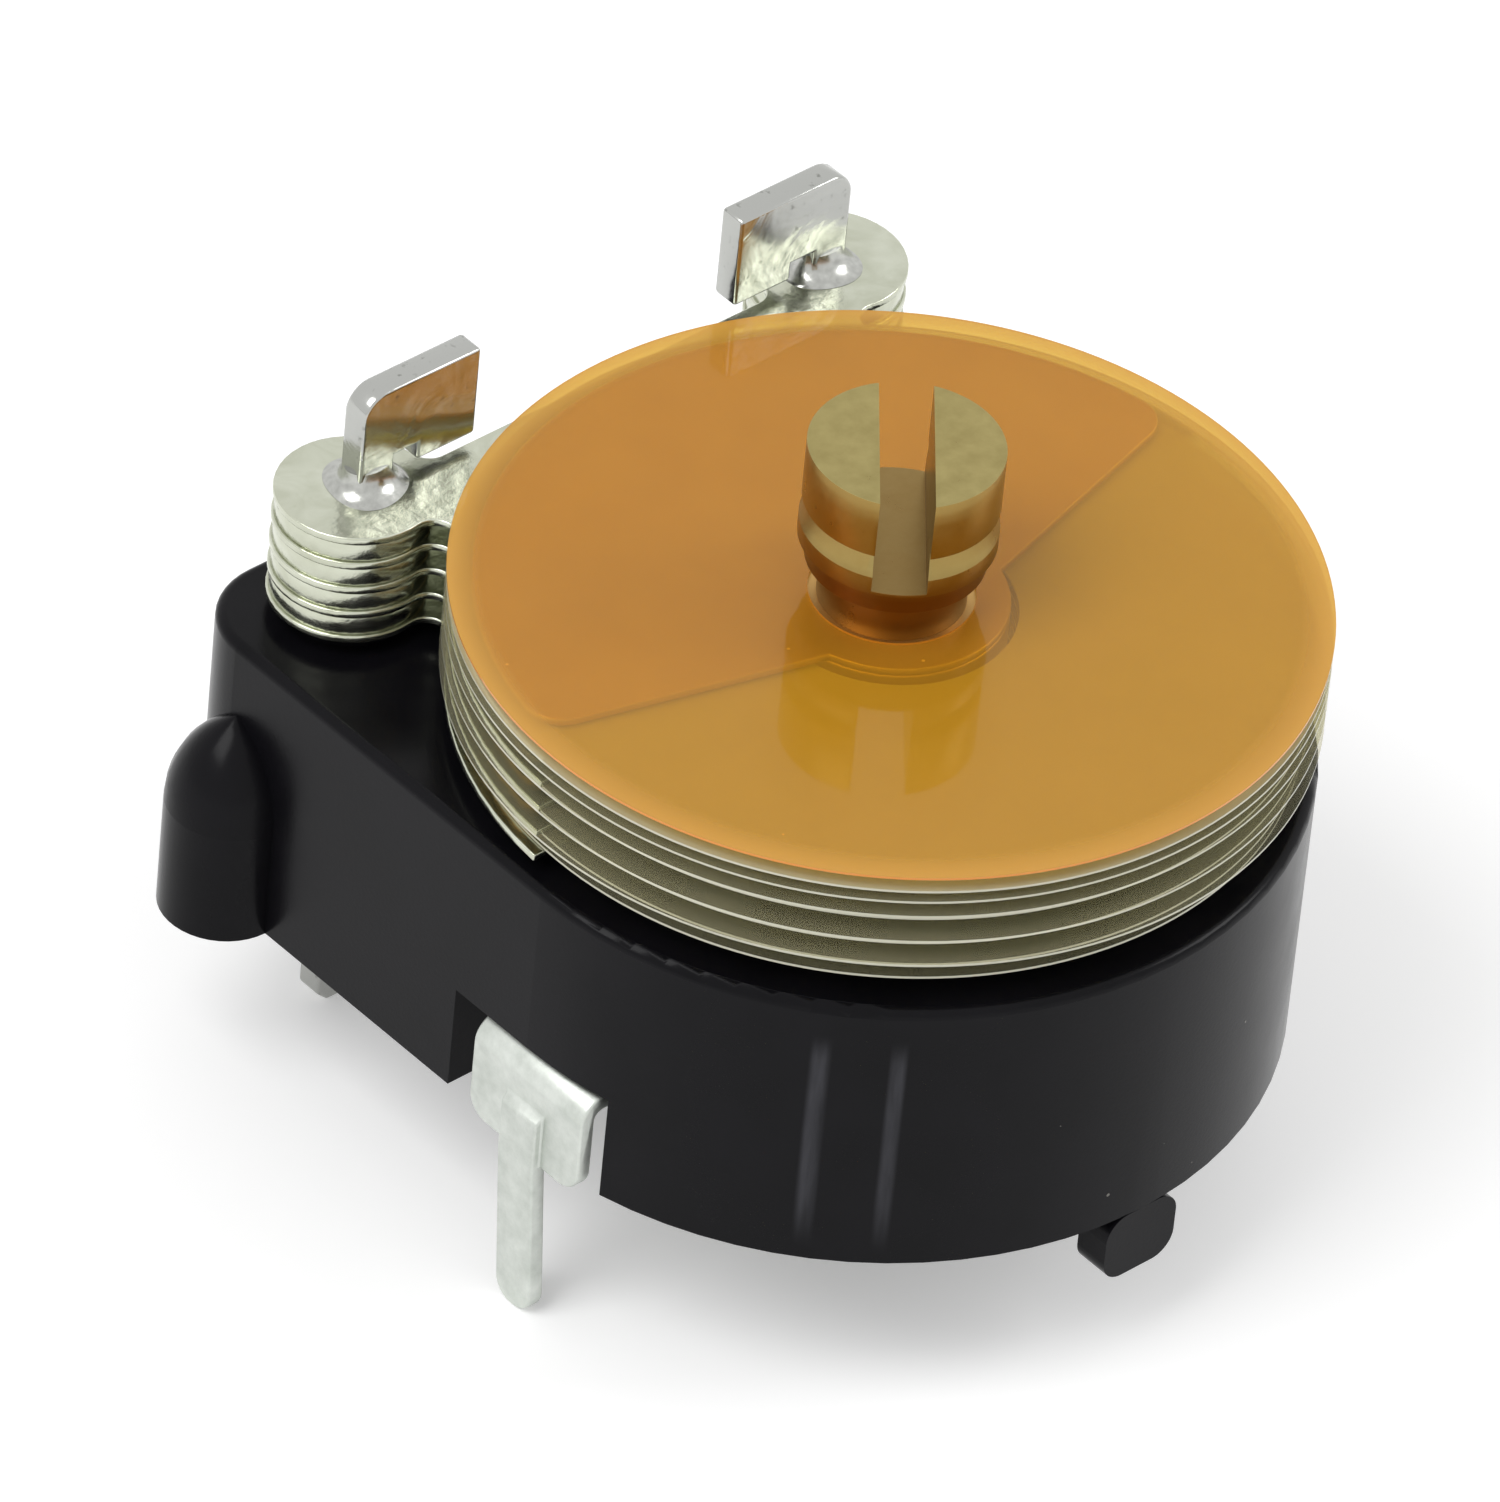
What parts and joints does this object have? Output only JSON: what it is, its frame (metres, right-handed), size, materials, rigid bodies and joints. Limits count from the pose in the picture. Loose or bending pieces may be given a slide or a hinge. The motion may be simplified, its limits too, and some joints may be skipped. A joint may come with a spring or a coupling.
{
  "type": "trimmer capacitor",
  "caption": "Film trimmer capacitor: a slotted brass spindle turns half-round plates between fixed plates and plastic films on a moulded base with board pins.",
  "frame": {"origin": "on the spindle's axis, in the plane of the board that the base sits on", "axes": "+Z along the spindle away from the board, +Y towards the two stator terminals, -X towards the rotor terminal"},
  "size_m": [0.0116, 0.0113, 0.0098],
  "materials": {
    "base_plastic": "moulded, glossy black",
    "brass": "turned, slightly dulled",
    "washer_steel": "plain",
    "plate_metal": "tin-plated sheet",
    "rotor_metal": "tin-plated sheet",
    "terminal_metal": "bright tin plate",
    "spring_metal": "satin tin plate",
    "solder": "bright solder",
    "amber_film": "transparent amber film",
    "clear_film": "clear film"
  },
  "bodies": {
    "stator": {"base": "base_plastic", "thrust_washer": "washer_steel", "stator_spacers_left": "plate_metal", "stator_spacers_right": "plate_metal", "stator_terminal_left": "terminal_metal", "stator_terminal_right": "terminal_metal", "rotor_terminal": "spring_metal", "solder_left": "solder", "solder_right": "solder", "top_film": "amber_film", "clear_film_1": "clear_film", "clear_film_2": "clear_film", "clear_film_3": "clear_film", "clear_film_4": "clear_film", "clear_film_5": "clear_film", "clear_film_6": "clear_film", "clear_film_7": "clear_film", "clear_film_8": "clear_film", "clear_film_9": "clear_film", "stator_plate_1": "plate_metal", "stator_plate_2": "plate_metal", "stator_plate_3": "plate_metal", "stator_plate_4": "plate_metal", "stator_plate_5": "plate_metal"},
    "rotor": {"spindle": "brass", "retaining_washer": "washer_steel", "rotor_spacers": "plate_metal", "rotor_plate_1": "rotor_metal", "rotor_plate_2": "rotor_metal", "rotor_plate_3": "rotor_metal", "rotor_plate_4": "rotor_metal", "rotor_plate_5": "rotor_metal"}
  },
  "joints": [
    {"name": "rotor_turn", "type": "hinge", "parent": "stator", "child": "rotor", "pos_m": [0, 0, 0.0055], "axis": [0, 0, 1], "continuous": true}
  ]
}
